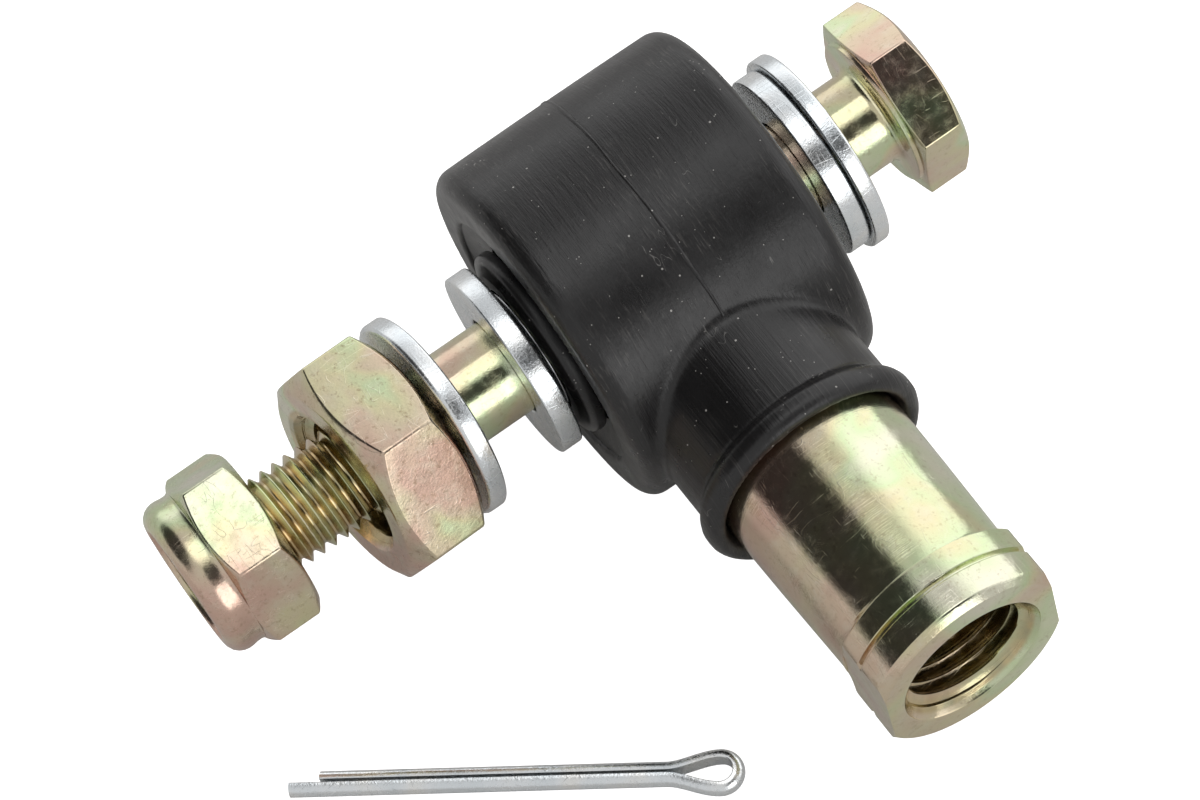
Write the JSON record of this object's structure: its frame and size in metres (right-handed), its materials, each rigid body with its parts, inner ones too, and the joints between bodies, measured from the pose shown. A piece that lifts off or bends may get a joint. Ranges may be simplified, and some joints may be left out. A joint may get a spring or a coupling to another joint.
{
  "type": "tie rod end",
  "caption": "Rod end with a spherical bearing in a rubber boot, a through bolt with lock nut, washers and jam nut, and a cotter pin.",
  "frame": {"origin": "centre of the bearing's ball", "axes": "+X along the bolt towards its head, -Y along the neck towards the tie rod, +Z perpendicular to both"},
  "size_m": [0.0892, 0.0721, 0.0378],
  "materials": {
    "yellow_zinc": "yellow zinc plate, bright, faintly iridescent",
    "clear_zinc": "clear zinc plate, bright, fine scratches",
    "bearing_steel": "ground and polished",
    "spring_steel": "phosphated spring steel",
    "liner_polymer": "natural polymer, smooth",
    "locking_nylon": "nylon, satin",
    "boot_rubber": "black moulded rubber, satin"
  },
  "bodies": {
    "housing": {"rod_end_body": "yellow_zinc", "bearing_race": "bearing_steel", "retaining_ring": "spring_steel", "rubber_boot": "boot_rubber", "seal_wall_left": "boot_rubber", "seal_wall_right": "boot_rubber"},
    "ball_seat": {"bearing_liner": "liner_polymer"},
    "ball": {"ball": "bearing_steel"},
    "stud": {"inner_sleeve": "bearing_steel", "seal_lip_left": "boot_rubber", "seal_lip_right": "boot_rubber"},
    "bolt": {"bolt": "yellow_zinc"},
    "washers_right": {"spacer_right": "clear_zinc", "washer_right": "clear_zinc"},
    "spacer_left": {"spacer_left": "clear_zinc"},
    "washer_left": {"washer_left": "clear_zinc"},
    "jam_nut": {"jam_nut": "yellow_zinc"},
    "locknut_feed": {"locknut_ring": "locking_nylon"},
    "locknut": {"locknut": "yellow_zinc"},
    "cotter_pin": {"cotter_pin": "clear_zinc"}
  },
  "joints": [
    {"name": "tilt_z", "type": "hinge", "parent": "housing", "child": "ball_seat", "pos_m": [0, 0, 0], "axis": [0, 0, 1], "range_deg": [-9, 9], "deforming": ["seal_wall_left", "seal_wall_right"]},
    {"name": "tilt_y", "type": "hinge", "parent": "ball_seat", "child": "ball", "pos_m": [0, 0, 0], "axis": [0, 1, 0], "range_deg": [-9, 9]},
    {"name": "swivel_x", "type": "hinge", "parent": "ball", "child": "stud", "pos_m": [0, 0, 0], "axis": [1, 0, 0], "continuous": true},
    {"name": "bolt_slide", "type": "slide", "parent": "stud", "child": "bolt", "axis": [1, 0, 0], "range_m": [-0.0052, 0]},
    {"name": "washers_right_slide", "type": "slide", "parent": "stud", "child": "washers_right", "axis": [1, 0, 0], "range_m": [-0.002, 0.0052]},
    {"name": "spacer_left_slide", "type": "slide", "parent": "stud", "child": "spacer_left", "axis": [1, 0, 0], "range_m": [-0.0058, 0]},
    {"name": "washer_left_slide", "type": "slide", "parent": "stud", "child": "washer_left", "axis": [1, 0, 0], "range_m": [-0.0001, 0.006]},
    {"name": "jam_nut_slide", "type": "slide", "parent": "stud", "child": "jam_nut", "axis": [1, 0, 0], "range_m": [-0.006, 0.0001]},
    {"name": "locknut_feed", "type": "slide", "parent": "bolt", "child": "locknut_feed", "axis": [1, 0, 0], "range_m": [-0.01, 0.0056]},
    {"name": "locknut_turn", "type": "hinge", "parent": "locknut_feed", "child": "locknut", "pos_m": [-0.049, 0, 0], "axis": [1, 0, 0], "range_deg": [-2880, 1620]},
    {"name": "cotter_pin_slide", "type": "slide", "parent": "housing", "child": "cotter_pin", "axis": [0.804, -0.5946, 0], "range_m": [-0.02, 0.02]}
  ],
  "couplings": [
    {"joint": "locknut_turn", "follows": "locknut_feed", "rad_per_m": 5026.5}
  ]
}
